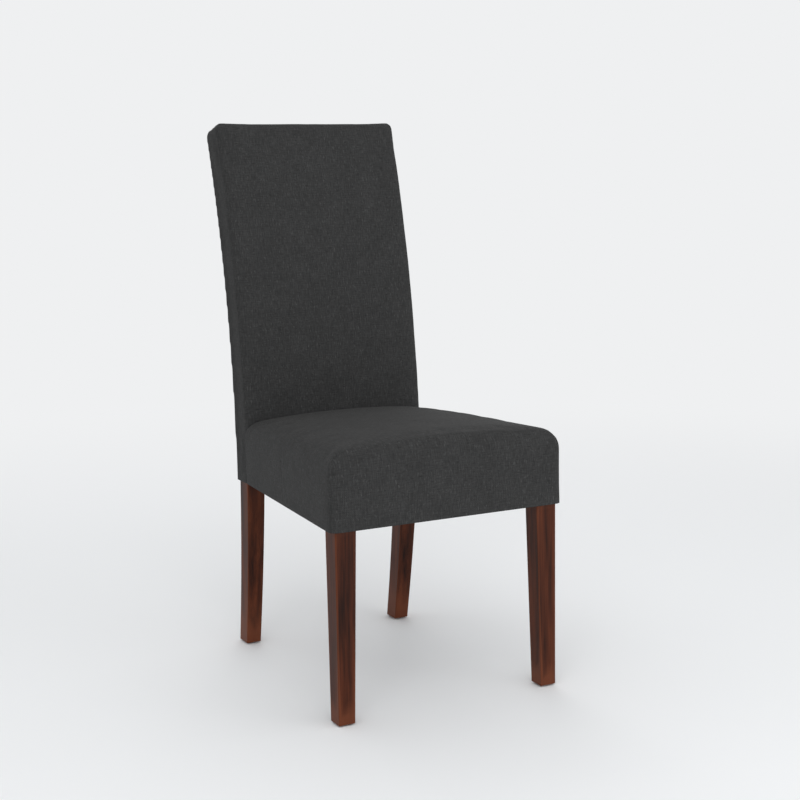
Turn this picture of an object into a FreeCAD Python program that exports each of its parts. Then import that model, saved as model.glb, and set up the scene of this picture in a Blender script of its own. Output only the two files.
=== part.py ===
import FreeCAD, Part
import Sketcher
import math
import os
import re
from FreeCAD import Placement, Rotation, Vector

# Upholstered side chair: a hardwood frame with mortise and tenon joints, woven
# webbing under the seat, and foam, wadding and a fabric cover around it.
# X runs from the sitter's right to left, the chair faces -Y, Z is up, and the
# origin is on the floor under the middle of the chair. Millimetres.

SIZES = {
    # the whole chair
    "overall_height": 1016,
    "overall_depth": 615,
    "seat_front_width": 446,
    "seat_rear_width": 382,
    "seat_underside": 337,
    # the upholstered seat
    "crown_height": 481,
    "crown_setback": 60,
    "crown_across": 1600,
    "crown_along": 4200,
    "seat_edge_radius": 30,
    "seat_corner_radius": 17,
    # the upholstered back
    "back_thickness": 56,
    "back_curve": 2056,
    "back_front_edge": 12,
    "back_rear_edge": 4,
    "back_corner_radius": 15,
    # soft layers
    "cover_thickness": 1.5,
    "seat_wadding_thickness": 4.5,
    "back_wadding_thickness": 4,
    "rear_wadding_thickness": 2,
    "rear_card_thickness": 2,
    "tack_strip_width": 12,
    "hessian_thickness": 0.8,
    "layer_gap": 0.3,
    "webbing_thickness": 1.2,
    "webbing_width": 50,
    "webbing_ramp": 10,
    "webbing_landing": 17,
    "lengthwise_pitch": 80,
    "crosswise_pitch": 95,
    "back_strap_pitch": 98,
    "sheet_margin": 4,
    "dust_cover_thickness": 1,
    "dust_cover_margin": 9,
    "cover_turn_under": 24,
    # the seat frame
    "front_frame_inset": 7.5,
    "rail_height": 60,
    "rail_thickness": 22,
    "rear_rail_setback": 4,
    "tenon_thickness": 10,
    "tenon_length": 18,
    "tenon_setback": 5,
    "tenon_shoulder": 8,
    "tenon_clearance": 0.1,
    "mortise_end_gap": 1,
    "corner_block_reach": 50,
    "corner_block_height": 40,
    "corner_block_drop": 10,
    "screw_diameter": 4.5,
    "screw_head_diameter": 9,
    "screw_head_depth": 3,
    "screw_length": 28,
    "screw_grip": 14,
    # the legs
    "leg_top_width": 39,
    "leg_foot_width": 30.5,
    "leg_foot_depth": 33,
    "leg_edge_radius": 1.5,
    "rear_leg_width": 36,
    "rear_leg_depth": 37.5,
    "rear_foot_width": 29.5,
    "rear_foot_depth": 37,
    "rear_leg_sweep": 44,
    "rear_leg_bow": 4.3,
    # the back frame
    "upright_depth": 26,
    "upright_shoulder": 72,
    "top_rail_height": 60,
    "middle_rail_height": 45,
    "middle_rail_rise": 310,
    "lower_rail_height": 45,
    "lower_rail_rise": 30,
    "back_tenon_thickness": 9,
    # the glides under the feet
    "glide_diameter": 20,
    "glide_height": 3,
    "glide_rim": 1.2,
    "glide_nail_diameter": 2.5,
    "glide_nail_length": 16,
    "glide_nail_head_diameter": 10,
    "glide_nail_head_depth": 1,
}

# Places worked out from the sizes, each from the ones above it.
PLACES = {
    "front_half": "seat_front_width / 2",
    "rear_half": "seat_rear_width / 2",
    "seat_front_y": "-overall_depth / 2",
    # levels of the seat frame and what lies on it
    "cover_bottom": "seat_underside + dust_cover_thickness",
    "rail_bottom": "cover_bottom + cover_thickness",
    "rail_top": "rail_bottom + rail_height",
    "deck_bottom": "rail_top + 2 * webbing_thickness",
    "deck_top": "deck_bottom + hessian_thickness",
    "tenon_bottom": "rail_bottom + tenon_shoulder",
    "tenon_top": "rail_top - tenon_shoulder",
    # the back rises plumb from its foot on an arc and is square across its top
    "first_lean": "asin((overall_height - cover_bottom) / (back_curve + back_thickness))",
    "round_loss": "sin(first_lean) + cos(first_lean) - 1",
    "top_corner_z": "overall_height + back_front_edge * round_loss",
    "back_lean": "asin((top_corner_z - cover_bottom) / (back_curve + back_thickness))",
    "back_rear_y": "overall_depth / 2 + back_rear_edge * round_loss"
                   " - back_curve * (1 - cos(back_lean))",
    "back_centre_y": "back_rear_y + back_curve",
    "back_front_y": "back_rear_y - back_thickness",
    "side_slope": "(rear_half - front_half) / (back_front_y - seat_front_y)",
    # front legs
    "leg_outer_x": "front_half - front_frame_inset",
    "leg_inner_x": "leg_outer_x - leg_top_width",
    "leg_front_y": "seat_front_y + front_frame_inset",
    "leg_rear_y": "leg_front_y + leg_top_width",
    # rear posts
    "back_inset": "cover_thickness + back_wadding_thickness",
    "post_outer_x": "rear_half - back_inset",
    "post_inner_x": "post_outer_x - rear_leg_width",
    "post_rear_y": "back_rear_y - back_inset",
    "post_front_y": "post_rear_y - rear_leg_depth",
    "foot_rear_y": "post_rear_y + rear_leg_sweep",
    "post_front_depth": "back_inset + upright_depth",
    "shoulder_z": "rail_top + upright_shoulder",
    # rails
    "rear_rail_front_y": "post_front_y + rear_rail_setback",
    "rear_rail_rear_y": "rear_rail_front_y + rail_thickness",
    "front_rail_inner_y": "leg_front_y + rail_thickness",
    "side_front_x": "front_half + side_slope * (leg_rear_y - seat_front_y) - back_inset",
    "side_rear_x": "rear_half + side_slope * (post_front_y - back_front_y) - back_inset",
    "block_top": "rail_top - corner_block_drop",
    "block_bottom": "block_top - corner_block_height",
    # layers of the back, as distances forward of its rear face
    "card_rear": "cover_thickness + rear_wadding_thickness",
    "webbing_front": "post_front_depth + webbing_thickness",
    "hessian_rear": "webbing_front + layer_gap",
    "foam_rear": "hessian_rear + hessian_thickness",
    "foam_front": "back_thickness - back_inset",
    "top_rail_low": "back_inset + top_rail_height",
    "lower_rail_z": "deck_top + lower_rail_rise",
    "lower_rail_top": "lower_rail_z + lower_rail_height",
    "middle_rail_z": "deck_top + middle_rail_rise",
    "middle_rail_top": "middle_rail_z + middle_rail_height",
}

STRAPS_LENGTHWISE = 4
STRAPS_CROSSWISE = 4
BACK_STRAPS = 5
BACK_SECTIONS = 11
SEAT_SECTIONS = 3
EDGE_SECTIONS = 3
LEG_SECTIONS = 5
SIDES = (("right", -1), ("left", 1))
TOUCH = 0.01

document = FreeCAD.newDocument("DiningChair")
nodes = []


# Sizes and places

def fill_sheet(name, cells, text_of):
    sheet = document.addObject("Spreadsheet::Sheet", name)
    for row, (alias, value) in enumerate(cells.items(), 1):
        sheet.set(f"A{row}", alias)
        sheet.set(f"B{row}", text_of(value))
        sheet.setAlias(f"B{row}", alias)
    return sheet


def bound(formula):
    # puts the name of its sheet before each size or place of a formula
    def with_sheet(match):
        word = match.group()
        return f"Sizes.{word}" if word in SIZES else f"Places.{word}"
    return re.sub(r"[a-z]+(_[a-z]+)+", with_sheet, str(formula))


sizes = fill_sheet("Sizes", SIZES, str)
places = fill_sheet("Places", PLACES, lambda formula: "=" + bound(formula))
document.recompute()


def number(formula):
    result = sizes.evalExpression(bound(formula))
    return float(getattr(result, "Value", result))


def bind(thing, name, formula):
    thing.setExpression(name, bound(formula))


def across(sign, near, far):
    # a stretch of X on one side of the chair, lowest first
    return (near, far) if sign > 0 else (f"-({far})", f"-({near})")


def on_side(sign, x):
    # a place on one side of the chair
    return x if sign > 0 else f"-({x})"


def grown(stretch, clearance):
    return (f"{stretch[0]} - {clearance}", f"{stretch[1]} + {clearance}")


# Sketches and features

def new_body(label):
    body = document.addObject("PartDesign::Body", label)
    body.Label = label
    return body


def attach(feature, body, plane, offset):
    # offset moves the feature from the plane, along the plane's own normal
    support = [part for part in body.Origin.OriginFeatures if part.Role == plane]
    feature.AttachmentSupport = [(support[0], "")]
    feature.MapMode = "FlatFace"
    bind(feature, "AttachmentOffset.Base.z", offset)


def arc_between(start, end, radius, side):
    # the short arc from start to end whose centre lies to the left of the way
    # there where side is 1, and to the right where it is -1
    chord = end - start
    middle = start + chord * 0.5
    left = Vector(-chord.y, chord.x, 0).normalize()
    centre = middle + left * side * math.sqrt(radius ** 2 - chord.Length ** 2 / 4)
    angles = [math.atan2(point.y - centre.y, point.x - centre.x) for point in (start, end)]
    if side < 0:
        angles.reverse()
    return Part.ArcOfCircle(Part.Circle(centre, Vector(0, 0, 1), radius), angles[0], angles[1])


def draw_outline(sketch, corners):
    # a closed outline, each corner (u, v), or (u, v, radius, side) where the
    # edge from it to the next corner is an arc; all in formulas
    points = [Vector(number(corner[0]), number(corner[1]), 0) for corner in corners]
    edges = []
    starts = []
    for index, corner in enumerate(corners):
        here, there = points[index], points[(index + 1) % len(points)]
        if len(corner) > 2:
            radius, side = corner[2:]
            edges.append(arc_between(here, there, number(radius), side))
            starts.append(1 if side > 0 else 2)
        else:
            edges.append(Part.LineSegment(here, there))
            starts.append(1)
    sketch.addGeometry(edges)
    held = []
    for index, corner in enumerate(corners):
        start = (index, starts[index])
        held.append((("DistanceX", -1, 1, *start, points[index].x), corner[0]))
        held.append((("DistanceY", -1, 1, *start, points[index].y), corner[1]))
        if len(corner) > 2:
            held.append((("Radius", index, number(corner[2])), corner[2]))
    joined = [("Coincident", index, 3 - starts[index], (index + 1) % len(corners),
               starts[(index + 1) % len(corners)]) for index in range(len(corners))]
    sketch.addConstraint([Sketcher.Constraint(*size) for size, _ in held]
                         + [Sketcher.Constraint(*ends) for ends in joined])
    for index, (_, formula) in enumerate(held):
        bind(sketch, f"Constraints[{index}]", formula)
    return sketch


def outline(body, name, plane, offset, corners):
    sketch = body.newObject("Sketcher::SketchObject", name)
    attach(sketch, body, plane, offset)
    return draw_outline(sketch, corners)


def pad(body, sketch, length, middle=False, cut=False):
    kind = "Pocket" if cut else "Pad"
    feature = body.newObject(f"PartDesign::{kind}", f"{sketch.Name}_{kind.lower()}")
    feature.Profile = sketch
    feature.Midplane = middle
    bind(feature, "Length", length)
    return feature


def loft(body, sketches):
    feature = body.newObject("PartDesign::AdditiveLoft", f"{body.Name}_loft")
    feature.Profile = sketches[0]
    feature.Sections = sketches[1:]
    feature.Ruled = True
    return feature


def block(body, name, x, y, z, cut=False):
    # a square-edged piece of wood, or a mortise for one, between two places
    # along each axis
    kind = "SubtractiveBox" if cut else "AdditiveBox"
    feature = body.newObject(f"PartDesign::{kind}", name)
    attach(feature, body, "XY_Plane", z[0])
    bind(feature, "AttachmentOffset.Base.x", x[0])
    bind(feature, "AttachmentOffset.Base.y", y[0])
    bind(feature, "Length", f"({x[1]}) - ({x[0]})")
    bind(feature, "Width", f"({y[1]}) - ({y[0]})")
    bind(feature, "Height", f"({z[1]}) - ({z[0]})")
    return feature


def chamfer_edges(body, name, chosen, size):
    # bevels the edges of the body that the test chooses
    document.recompute()
    base = body.Tip
    edges = [f"Edge{i}" for i, edge in enumerate(base.Shape.Edges, 1) if chosen(edge)]
    chamfer = body.newObject("PartDesign::Chamfer", name)
    chamfer.Base = (base, edges)
    bind(chamfer, "Size", size)
    return chamfer


def cut(label, base, *tools):
    result = document.addObject("Part::Cut", label)
    result.Label = label
    result.Base = base
    result.Tool = tools[0] if len(tools) == 1 else group(label + "_tools", tools)
    return result


def group(label, shapes):
    result = document.addObject("Part::Compound", label)
    result.Label = label
    result.Links = list(shapes)
    return result


def node(piece):
    nodes.append(piece)
    return piece


# The outer forms of the seat and the back, drawn in by an inset for each layer

def rounded_off(radius, distance):
    # how far a rounded edge has drawn in, this far from where it ends
    return f"({radius} - sqrt({radius} ^ 2 - max({radius} - ({distance}); 0) ^ 2))"


def edge_distances(radius):
    # distances from the end of a rounded edge, evenly spaced round it
    return [f"({radius}) * (1 - cos({90 * step / EDGE_SECTIONS}))"
            for step in range(EDGE_SECTIONS + 1)]


def seat_form(label, inset, bottom):
    # a block with a top that is crowned both ways, from sections that stand
    # across the seat, closer together round its front edge
    body = new_body(label)
    edge = f"(seat_edge_radius - {inset})"
    corner = f"(seat_corner_radius - {inset})"
    crown = f"(crown_across - {inset})"
    distances = edge_distances(edge)
    for step in range(1, SEAT_SECTIONS + 1):
        distances.append(f"{edge} + (post_rear_y - seat_front_y - {inset} - {edge})"
                         f" * {step / SEAT_SECTIONS}")
    sketches = []
    for index, distance in enumerate(distances):
        y = f"(seat_front_y + {inset} + {distance})"
        half = (f"(front_half + side_slope * ({y} - seat_front_y) - {inset}"
                f" - {rounded_off(corner, distance)})")
        top = (f"(crown_height - {inset} - crown_along"
               f" + sqrt(crown_along ^ 2 - ({y} - seat_front_y - crown_setback) ^ 2)"
               f" - {rounded_off(edge, distance)})")
        # the shoulder arcs touch the sides and the crown arc
        rise = f"sqrt(({crown} - {edge}) ^ 2 - ({half} - {edge}) ^ 2)"
        touch_x = f"({half} - {edge}) * {crown} / ({crown} - {edge})"
        touch_z = f"{top} - {crown} + {rise} * {crown} / ({crown} - {edge})"
        side_z = f"{top} - {crown} + {rise}"
        sketches.append(outline(body, f"{label}_across{index}", "XZ_Plane", f"-{y}", [
            (f"-{half}", bottom),
            (half, bottom),
            (half, side_z, edge, 1),
            (touch_x, touch_z, crown, 1),
            (f"-{touch_x}", touch_z, edge, 1),
            (f"-{half}", side_z),
        ]))
    loft(body, sketches)
    return body


def turn_at(distance):
    # the angle up the curve of a place this far below the back's top
    return f"(back_lean - asin(({distance}) / (back_curve + back_thickness)))"


def board(label, inset, rear, rear_edge, start):
    # the back's curved board with soft edges, from sections square to its
    # curve, closer together round its top edge; rear is forward of the rear
    # face, and start is how far up the curve it begins
    body = new_body(label)
    edge = f"(back_front_edge - {inset})"
    corner = f"(back_corner_radius - {inset})"
    low = f"asin({start} / back_curve)"
    high = turn_at(f"{inset} + {corner}")
    places_up = [(f"({low} + ({high} - {low}) * {step / BACK_SECTIONS})", corner)
                 for step in range(BACK_SECTIONS)]
    places_up += [(turn_at(f"{inset} + {distance}"), distance)
                  for distance in reversed(edge_distances(corner))]
    sketches = []
    for index, (turn, distance) in enumerate(places_up):
        half = f"(rear_half - {inset} - {rounded_off(corner, distance)})"
        front = f"(-back_curve - back_thickness + {inset} + {rounded_off(edge, distance)})"
        behind = f"(-back_curve - {rear})"
        corners = [(f"-({half} - {edge})", front), (f"{half} - {edge}", front, edge, 1),
                   (half, f"{front} + {edge}")]
        if rear_edge:
            behind = f"(-back_curve - {rear} - {rounded_off(rear_edge, distance)})"
            corners += [(half, f"{behind} - {rear_edge}", rear_edge, 1),
                        (f"{half} - {rear_edge}", behind),
                        (f"-({half} - {rear_edge})", behind, rear_edge, 1),
                        (f"-{half}", f"{behind} - {rear_edge}")]
        else:
            corners += [(half, behind), (f"-{half}", behind)]
        corners.append((f"-{half}", f"{front} + {edge}", edge, 1))
        sketch = body.newObject("Sketcher::SketchObject", f"{label}_square{index}")
        attach(sketch, body, "XY_Plane", "cover_bottom")
        sketch.AttachmentOffset = Placement(sketch.AttachmentOffset.Base, Rotation(Vector(1, 0, 0), 1))
        bind(sketch, "AttachmentOffset.Base.y", "back_centre_y")
        bind(sketch, "AttachmentOffset.Rotation.Angle", f"-{turn}")
        sketches.append(draw_outline(sketch, corners))
    loft(body, sketches)
    return body


def on_back(depth, drop):
    # a place on the back, depth forward of its rear face and drop below its
    # top, as formulas for Y and Z
    radius = f"(back_curve + {depth})"
    angle = f"(back_lean - asin(({drop}) / {radius}))"
    return (f"back_centre_y - {radius} * cos({angle})", f"cover_bottom + {radius} * sin({angle})")


def at_level(depth, level):
    # the same, at a level above the floor
    radius = f"(back_curve + {depth})"
    return (f"back_centre_y - sqrt({radius} ^ 2 - ({level} - cover_bottom) ^ 2)", level)


def slab_side(body, name, rear, front, low, high, offset="0"):
    # the side of a slab that follows the curve of the back between two
    # depths; low and high are each a function and its place, as above
    return outline(body, name, "YZ_Plane", offset, [
        (*low[0](rear, low[1]), f"back_curve + {rear}", -1),
        high[0](rear, high[1]),
        (*high[0](front, high[1]), f"back_curve + {front}", 1),
        low[0](front, low[1]),
    ])


def slab(label, half, rear, front, low, high):
    body = new_body(label)
    pad(body, slab_side(body, label + "_side", rear, front, low, high), f"2 * ({half})", middle=True)
    return body


seat_outside = seat_form("seat_outside", "0", "cover_bottom")
seat_under_cover = seat_form("seat_under_cover", "cover_thickness", "rail_bottom")
seat_under_wadding = seat_form(
    "seat_under_wadding", "(cover_thickness + seat_wadding_thickness)", "deck_top")
back_outside = board("back_outside", "0", "0", "back_rear_edge", "0")
back_under_cover = board("back_under_cover", "cover_thickness", "cover_thickness", None,
                         "cover_thickness")
back_under_wadding = board("back_under_wadding", "back_inset", "-cover_thickness", None, "0")


# Legs and posts

def leg_section(body, name, level, x, y):
    # a slice of a leg with its corners eased
    r = "leg_edge_radius"
    (left, right), (front, rear) = x, y
    return outline(body, name, "XY_Plane", level, [
        (f"{left} + {r}", front), (f"{right} - {r}", front, r, 1),
        (right, f"{front} + {r}"), (right, f"{rear} - {r}", r, 1),
        (f"{right} - {r}", rear), (f"{left} + {r}", rear, r, 1),
        (left, f"{rear} - {r}"), (left, f"{front} + {r}", r, 1)])


def front_leg(name, sign):
    body = new_body(f"front_leg_{name}_shape")
    loft(body, [
        leg_section(body, f"leg_{name}_{level}", level, across(sign, f"leg_outer_x - {width}", "leg_outer_x"),
                    ("leg_front_y", f"(leg_front_y + {depth})"))
        for level, width, depth in (("glide_height", "leg_foot_width", "leg_foot_depth"),
                                    ("cover_bottom", "leg_top_width", "leg_top_width"))])
    x = across(sign, "leg_inner_x", "leg_outer_x")
    block(body, f"leg_{name}_top", x, ("leg_front_y", "leg_rear_y"), ("cover_bottom", "rail_top"))
    # mortises for the front rail and the side rail
    block(body, f"leg_{name}_front_mortise",
          across(sign, "leg_inner_x - tenon_clearance", "leg_inner_x + tenon_length + mortise_end_gap"),
          grown(front_tenon_y, "tenon_clearance"), grown(TENON_Z, "tenon_clearance"), cut=True)
    block(body, f"leg_{name}_side_mortise",
          across(sign, *grown(side_tenon_x("side_front_x"), "tenon_clearance")),
          ("leg_rear_y - tenon_length - mortise_end_gap", "leg_rear_y + tenon_clearance"),
          grown(TENON_Z, "tenon_clearance"), cut=True)
    return body


TENON_Z = ("tenon_bottom", "tenon_top")
front_tenon_y = ("leg_front_y + tenon_setback", "leg_front_y + tenon_setback + tenon_thickness")
rear_tenon_y = ("rear_rail_front_y + (rail_thickness - tenon_thickness) / 2",
                "rear_rail_front_y + (rail_thickness + tenon_thickness) / 2")
back_tenon_depth = ("back_inset + (upright_depth - back_tenon_thickness) / 2",
                    "back_inset + (upright_depth + back_tenon_thickness) / 2")


def side_tenon_x(rail_x):
    return (f"{rail_x} - tenon_setback - tenon_thickness", f"{rail_x} - tenon_setback")


# the rails of the back: what their edges are measured by, the lower and the
# upper edge, and 1 where that measure grows upwards
BACK_RAILS = {
    "top": (on_back, "top_rail_low", "back_inset", -1),
    "middle": (at_level, "middle_rail_z", "middle_rail_top", 1),
    "lower": (at_level, "lower_rail_z", "lower_rail_top", 1),
}


def within(rail, distance):
    # the lower and upper edge of a back rail, each moved in by a distance
    measure, low, high, up = BACK_RAILS[rail]
    return (measure, f"({low} + {up} * ({distance}))"), (measure, f"({high} - {up} * ({distance}))")


def rear_post(name, sign):
    # one shaped timber: a leg that sweeps backwards, straight faces at the
    # seat rails, and a slimmer upright that follows the curve of the back
    body = new_body(f"rear_post_{name}_shape")
    slices = []
    for step in range(LEG_SECTIONS + 1):
        down = 1 - step / LEG_SECTIONS
        swept = f"rear_leg_sweep * {down} - rear_leg_bow * {4 * down * (1 - down)}"
        slices.append(leg_section(
            body, f"post_{name}_slice{step}",
            f"cover_bottom + (glide_height - cover_bottom) * {down}",
            across(sign, "post_inner_x",
                   f"post_outer_x + (rear_foot_width - rear_leg_width) * {down}"),
            (f"(post_front_y + (rear_leg_depth - rear_foot_depth) * {down} + {swept})",
             f"(post_rear_y + {swept})")))
    loft(body, slices)
    x = across(sign, "post_inner_x", "post_outer_x")
    side = outline(body, f"post_{name}_side", "YZ_Plane", x[0], [
        ("post_rear_y", "cover_bottom", "back_curve + back_inset", -1),
        on_back("back_inset", "back_inset"),
        (*on_back("post_front_depth", "back_inset"), "back_curve + post_front_depth", 1),
        at_level("post_front_depth", "shoulder_z"),
        ("post_front_y", "deck_top"),
        ("post_front_y", "cover_bottom"),
    ])
    pad(body, side, "rear_leg_width")
    block(body, f"post_{name}_side_mortise",
          across(sign, *grown(side_tenon_x("side_rear_x"), "tenon_clearance")),
          ("post_front_y - tenon_clearance", "post_front_y + tenon_length + mortise_end_gap"),
          grown(TENON_Z, "tenon_clearance"), cut=True)
    block(body, f"post_{name}_rear_mortise",
          across(sign, "post_inner_x - tenon_clearance", "post_inner_x + tenon_length + mortise_end_gap"),
          grown(rear_tenon_y, "tenon_clearance"), grown(TENON_Z, "tenon_clearance"), cut=True)
    rear, front = grown(back_tenon_depth, "tenon_clearance")
    for rail in BACK_RAILS:
        mortise = slab_side(body, f"post_{name}_{rail}_mortise", f"({rear})", f"({front})",
                            *within(rail, "tenon_shoulder - tenon_clearance"),
                            offset=on_side(sign, "post_inner_x"))
        pad(body, mortise, "2 * (tenon_length + mortise_end_gap)", middle=True, cut=True)
    return body


# Rails

def straight_rail(label, half, y, tenon_y):
    body = new_body(label)
    block(body, label + "_length", (f"-{half}", half), y, ("rail_bottom", "rail_top"))
    block(body, label + "_tenons", (f"-({half} + tenon_length)", f"{half} + tenon_length"),
          tenon_y, TENON_Z)
    return body


def side_rail(name, sign):
    body = new_body(f"side_rail_{name}_shape")
    inner_front, outer_front = across(sign, "side_front_x - rail_thickness", "side_front_x")
    inner_rear, outer_rear = across(sign, "side_rear_x - rail_thickness", "side_rear_x")
    plan = outline(body, f"side_rail_{name}_plan", "XY_Plane", "rail_bottom", [
        (inner_front, "leg_rear_y"), (outer_front, "leg_rear_y"),
        (outer_rear, "post_front_y"), (inner_rear, "post_front_y")])
    pad(body, plan, "rail_height")
    block(body, f"side_rail_{name}_front_tenon", across(sign, *side_tenon_x("side_front_x")),
          ("leg_rear_y - tenon_length", "leg_rear_y + tenon_length"), TENON_Z)
    block(body, f"side_rail_{name}_rear_tenon", across(sign, *side_tenon_x("side_rear_x")),
          ("post_front_y - tenon_length / 2", "post_front_y + tenon_length"), TENON_Z)
    return body


def back_rail(rail):
    label = f"back_{rail}_rail"
    body = slab(label, "post_inner_x", "back_inset", "post_front_depth", *within(rail, "0"))
    rear, front = back_tenon_depth
    tenon = slab_side(body, label + "_tenon", f"({rear})", f"({front})",
                      *within(rail, "tenon_shoulder"))
    pad(body, tenon, "2 * (post_inner_x + tenon_length)", middle=True)
    return body


def corner_block(label, sign, frame_x, frame_y, rail_y, rail_x, way):
    # fills the corner between a straight rail and a side rail, tight to the
    # two faces of the leg or post; way is 1 where the block lies behind it
    body = new_body(label)
    along = f"({rail_x} - rail_thickness + side_slope * {way} * corner_block_reach)"
    corners = [
        (f"{frame_x} - corner_block_reach", rail_y),
        (frame_x, rail_y),
        (frame_x, frame_y),
        (f"{rail_x} - rail_thickness", frame_y),
        (along, f"{frame_y} + {way} * corner_block_reach"),
    ]
    plan = outline(body, label + "_plan", "XY_Plane", "block_bottom", [
        (on_side(sign, x), y) for x, y in corners])
    pad(body, plan, "corner_block_height")
    return body


def cylinder(label, radius, height, x, y, z, turn=None):
    # stands on its place, or lies along the direction it is turned to
    result = document.addObject("Part::Cylinder", label)
    bind(result, "Radius", radius)
    bind(result, "Height", height)
    if turn:
        result.Placement = Placement(Vector(0, 0, 0), Rotation(Vector(0, 0, 1), turn))
    for axis, formula in zip("xyz", (x, y, z)):
        bind(result, f"Placement.Base.{axis}", formula)
    return result


def fuse(label, *shapes):
    result = document.addObject("Part::MultiFuse", label)
    result.Label = label
    result.Shapes = list(shapes)
    return result


def block_screw(label, seat, turn):
    # a pan-head screw whose head bears at its seat inside the block, and the
    # room that a driver needs behind it
    x, y = seat
    z = "(block_top + block_bottom) / 2"
    shank = cylinder(label + "_shank", "screw_diameter / 2", "screw_length", x, y, z, turn)
    back = Vector(-turn.x, -turn.y, -turn.z)
    head = cylinder(label + "_head", "screw_head_diameter / 2", "screw_head_depth", x, y, z, back)
    room = cylinder(label + "_room", "screw_head_diameter / 2", "2 * corner_block_reach",
                    x, y, z, back)
    return fuse(label, shank, head), room


def foot_of(place, sign):
    # the middle of a foot
    if place == "front":
        return (on_side(sign, "leg_outer_x - leg_foot_width / 2"),
                "leg_front_y + leg_foot_depth / 2")
    return (on_side(sign, "post_inner_x + rear_foot_width / 2"),
            "foot_rear_y - rear_foot_depth / 2")


def glide_and_nail(label, x, y):
    disc = new_body(label + "_disc")
    drum = disc.newObject("PartDesign::AdditiveCylinder", label + "_drum")
    attach(drum, disc, "XY_Plane", "0")
    bind(drum, "AttachmentOffset.Base.x", x)
    bind(drum, "AttachmentOffset.Base.y", y)
    bind(drum, "Radius", "glide_diameter / 2")
    bind(drum, "Height", "glide_height")
    chamfer_edges(disc, label + "_rim", lambda edge: edge.BoundBox.ZMax < TOUCH, "glide_rim")
    head_z = "glide_height - glide_nail_head_depth"
    head = cylinder(label + "_nail_head", "glide_nail_head_diameter / 2", "glide_nail_head_depth",
                    x, y, head_z)
    shank = cylinder(label + "_nail_shank", "glide_nail_diameter / 2", "glide_nail_length",
                     x, y, head_z)
    return disc, fuse(label + "_nail", head, shank)


# The wooden frame

legs = {name: front_leg(name, sign) for name, sign in SIDES}
posts = {name: rear_post(name, sign) for name, sign in SIDES}
front_rail = straight_rail("front_rail_shape", "leg_inner_x", ("leg_front_y", "front_rail_inner_y"),
                           front_tenon_y)
rear_rail = straight_rail("rear_rail_shape", "post_inner_x",
                          ("rear_rail_front_y", "rear_rail_rear_y"), rear_tenon_y)
side_rails = {name: side_rail(name, sign) for name, sign in SIDES}
for rail in BACK_RAILS:
    node(back_rail(rail))

screws = []
rooms = {}
blocks = {}
for name, sign in SIDES:
    for place, way, frame_x, frame_y, rail_y, rail_x in (
            ("front", 1, "leg_inner_x", "leg_rear_y", "front_rail_inner_y", "side_front_x"),
            ("rear", -1, "post_inner_x", "post_front_y", "rear_rail_front_y", "side_rear_x")):
        label = f"corner_block_{place}_{name}"
        blocks[label] = corner_block(label + "_shape", sign, frame_x, frame_y, rail_y, rail_x, way)
        into_rail = (on_side(sign, f"{frame_x} - corner_block_reach / 2"),
                     f"{rail_y} + {way} * screw_grip")
        side_face = f"{rail_x} - rail_thickness + side_slope * {way} * corner_block_reach / 2"
        into_side = (on_side(sign, f"{side_face} - screw_grip"),
                     f"{frame_y} + {way} * corner_block_reach / 2")
        made = [block_screw(label + "_screw_1", into_rail, Vector(0, -way, 0)),
                block_screw(label + "_screw_2", into_side, Vector(sign, 0, 0))]
        screws += [screw for screw, _ in made]
        rooms[label] = [room for _, room in made]
screw_set = node(group("corner_block_screws", screws))
for label, shape in blocks.items():
    node(cut(label, shape, screw_set, *rooms[label]))
node(cut("front_rail", front_rail, screw_set))
node(cut("rear_rail", rear_rail, screw_set))
for name, _ in SIDES:
    node(cut(f"side_rail_{name}", side_rails[name], screw_set))

glides = {}
nails = []
for name, sign in SIDES:
    for place in ("front", "rear"):
        disc, nail = glide_and_nail(f"glide_{place}_{name}", *foot_of(place, sign))
        glides[f"glide_{place}_{name}"] = disc
        nails.append(nail)
nail_set = node(group("glide_nails", nails))
for label, disc in glides.items():
    node(cut(label, disc, nail_set))
frame_legs = []
for name, _ in SIDES:
    frame_legs.append(node(cut(f"front_leg_{name}", legs[name], nail_set)))
for name, _ in SIDES:
    frame_legs.append(node(cut(f"rear_post_{name}", posts[name], nail_set)))


# Webbing and cloth under the seat

def strap_middles(count, pitch, middle):
    return [f"({middle} + {index - (count - 1) / 2} * {pitch})" for index in range(count)]


def woven_strap(label, plane, offset, ends, crossings):
    # the side of a strap that rises over each crossing marked True and passes
    # under the others
    low = [(ends[0], "rail_top")]
    for middle, over in crossings:
        if over:
            low += [(f"{middle} - webbing_width / 2 - webbing_ramp", "rail_top"),
                    (f"{middle} - webbing_width / 2", "rail_top + webbing_thickness"),
                    (f"{middle} + webbing_width / 2", "rail_top + webbing_thickness"),
                    (f"{middle} + webbing_width / 2 + webbing_ramp", "rail_top")]
    low.append((ends[1], "rail_top"))
    high = [(place, f"{level} + webbing_thickness") for place, level in reversed(low)]
    body = new_body(label)
    pad(body, outline(body, label + "_side", plane, offset, low + high), "webbing_width",
        middle=True)
    return body


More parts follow.
